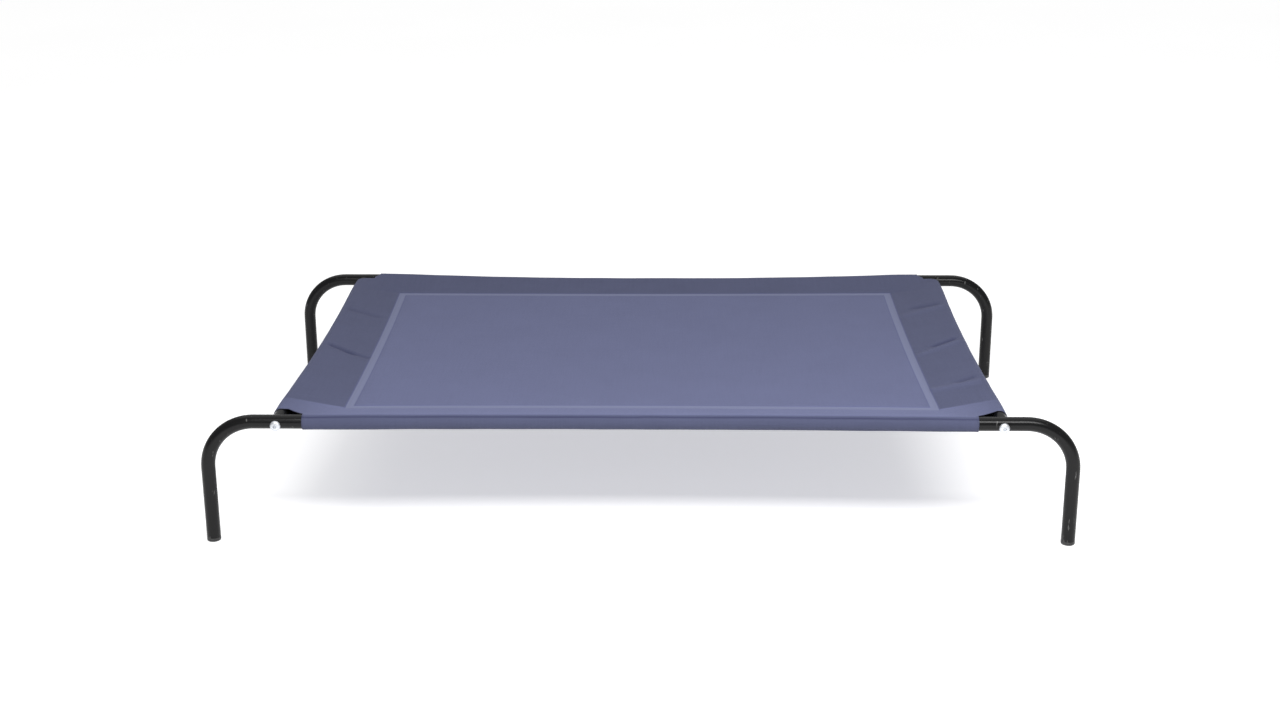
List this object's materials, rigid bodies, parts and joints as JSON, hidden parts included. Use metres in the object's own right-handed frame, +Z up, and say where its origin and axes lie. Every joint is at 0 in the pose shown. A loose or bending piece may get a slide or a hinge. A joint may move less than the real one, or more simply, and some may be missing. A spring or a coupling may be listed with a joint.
{
  "type": "raised dog bed",
  "caption": "Raised dog bed: a taut fabric sling with hems sleeved over a rectangular frame of bent steel tubes, on legs with plastic foot plugs.",
  "frame": {"origin": "on the floor under the middle of the bed", "axes": "+Z up, +X along the long sides, +Y from the front long side to the rear one"},
  "size_m": [1.3, 0.809, 0.2013],
  "materials": {
    "powder_coated_tube": "satin black powder coat",
    "insert_steel": "plain turned steel",
    "bolt_zinc": "bright zinc plated",
    "foot_plastic": "moulded, fine texture",
    "sling_fabric": "plain woven polyester, coated on the back"
  },
  "bodies": {
    "root": {"leg_tube_front_left": "powder_coated_tube", "leg_tube_front_right": "powder_coated_tube", "leg_tube_rear_left": "powder_coated_tube", "leg_tube_rear_right": "powder_coated_tube", "end_rail_left": "powder_coated_tube", "end_rail_right": "powder_coated_tube", "rail_insert_front_left": "insert_steel", "rail_insert_front_right": "insert_steel", "rail_insert_rear_left": "insert_steel", "rail_insert_rear_right": "insert_steel", "bolt_front_left": "bolt_zinc", "bolt_front_right": "bolt_zinc", "bolt_rear_left": "bolt_zinc", "bolt_rear_right": "bolt_zinc", "foot_front_left": "foot_plastic", "foot_front_right": "foot_plastic", "foot_rear_left": "foot_plastic", "foot_rear_right": "foot_plastic", "sling_hem_front": "sling_fabric", "sling_hem_rear": "sling_fabric", "sling_hem_left": "sling_fabric", "sling_hem_right": "sling_fabric", "sling_panel": "sling_fabric"}
  },
  "joints": []
}
